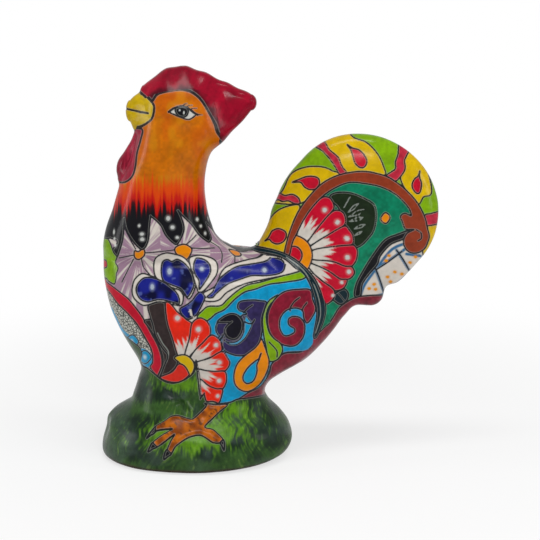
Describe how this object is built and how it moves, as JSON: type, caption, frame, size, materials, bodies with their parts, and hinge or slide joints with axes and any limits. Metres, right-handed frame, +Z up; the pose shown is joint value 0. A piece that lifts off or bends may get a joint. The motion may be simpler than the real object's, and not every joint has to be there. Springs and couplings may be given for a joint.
{
  "type": "ceramic rooster figurine",
  "caption": "Hollow glazed earthenware rooster with a raised round fan tail, standing on a grassy mound; a free-standing painted ornament.",
  "frame": {"origin": "on the floor, below the middle of the whole figurine's bounding box", "axes": "+Z up, -X the way the bird faces, -Y its left side; the middle plane of the moulded halves is Y = 0"},
  "size_m": [0.281, 0.1264, 0.3272],
  "materials": {
    "grass_glaze": "clear gloss glaze over brushed greens",
    "trunk_glaze": "clear gloss glaze over painted ornament",
    "tail_glaze": "clear gloss glaze over painted ornament",
    "crimson_glaze": "clear gloss glaze",
    "yellow_glaze": "clear gloss glaze",
    "leg_glaze": "clear gloss glaze over brushed scales"
  },
  "bodies": {
    "root": {"mound": "grass_glaze", "trunk_left": "trunk_glaze", "trunk_right": "trunk_glaze", "tail_left": "tail_glaze", "tail_right": "tail_glaze", "comb": "crimson_glaze", "beak": "yellow_glaze", "wattle": "crimson_glaze", "leg_left": "leg_glaze", "leg_right": "leg_glaze"}
  },
  "joints": []
}
